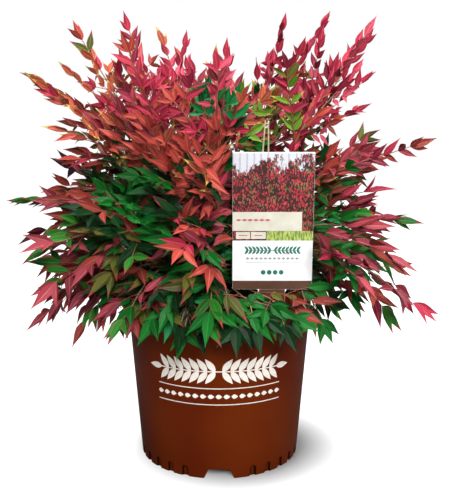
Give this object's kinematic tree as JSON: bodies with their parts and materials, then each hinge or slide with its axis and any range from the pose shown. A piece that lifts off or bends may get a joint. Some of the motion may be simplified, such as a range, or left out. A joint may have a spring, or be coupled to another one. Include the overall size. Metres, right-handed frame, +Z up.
{
  "type": "heavenly bamboo in a nursery pot",
  "caption": "Compact heavenly bamboo shrub with crimson, coral and green foliage, growing in a round brown nursery pot with a plant label card.",
  "frame": {"origin": "centre of the flat underside of the pot, on the floor", "axes": "+Z up, -Y towards the front, where the label card faces, +X to the right as seen from the front"},
  "size_m": [0.534, 0.4641, 0.5642],
  "materials": {
    "pot": "satin brown nursery pot",
    "potting_mix": "composted bark potting mix",
    "label_card": "printed plastic card",
    "cane": "smooth ringed cane bark",
    "crimson_leaves": "leathery young leaves",
    "coral_leaves": "leathery turning leaves",
    "maroon_leaves": "leathery older leaves",
    "green_leaves": "leathery green leaves"
  },
  "bodies": {
    "root": {"pot": "pot", "soil": "potting_mix", "label": "label_card", "cane_1": "cane", "cane_2": "cane", "cane_3": "cane", "cane_4": "cane", "cane_5": "cane", "cane_6": "cane", "cane_7": "cane", "cane_8": "cane", "cane_heart": "cane", "spray_heart_tip": "crimson_leaves", "spray_heart_1": "crimson_leaves", "spray_heart_2": "crimson_leaves", "spray_heart_3": "crimson_leaves", "spray_crown_1": "crimson_leaves", "spray_crown_2": "crimson_leaves", "spray_crown_3": "crimson_leaves", "spray_crown_4": "crimson_leaves", "spray_crown_5": "crimson_leaves", "spray_crown_6": "crimson_leaves", "spray_crown_7": "crimson_leaves", "spray_crown_8": "crimson_leaves", "spray_upper_1": "coral_leaves", "spray_upper_2": "coral_leaves", "spray_upper_3": "coral_leaves", "spray_upper_4": "coral_leaves", "spray_upper_5": "coral_leaves", "spray_upper_6": "coral_leaves", "spray_upper_7": "coral_leaves", "spray_upper_8": "coral_leaves", "spray_middle_1": "maroon_leaves", "spray_middle_2": "maroon_leaves", "spray_middle_3": "maroon_leaves", "spray_middle_4": "maroon_leaves", "spray_middle_5": "maroon_leaves", "spray_middle_6": "maroon_leaves", "spray_middle_7": "maroon_leaves", "spray_middle_8": "maroon_leaves", "spray_skirt_1": "green_leaves", "spray_skirt_2": "green_leaves", "spray_skirt_3": "green_leaves", "spray_skirt_4": "green_leaves", "spray_skirt_5": "green_leaves", "spray_skirt_6": "green_leaves", "spray_skirt_7": "green_leaves", "spray_skirt_8": "green_leaves", "spray_apron_1": "green_leaves", "spray_apron_2": "green_leaves", "spray_apron_3": "green_leaves", "spray_apron_4": "green_leaves", "spray_apron_5": "green_leaves", "spray_apron_6": "green_leaves", "spray_apron_7": "green_leaves", "spray_apron_8": "green_leaves"}
  },
  "joints": []
}
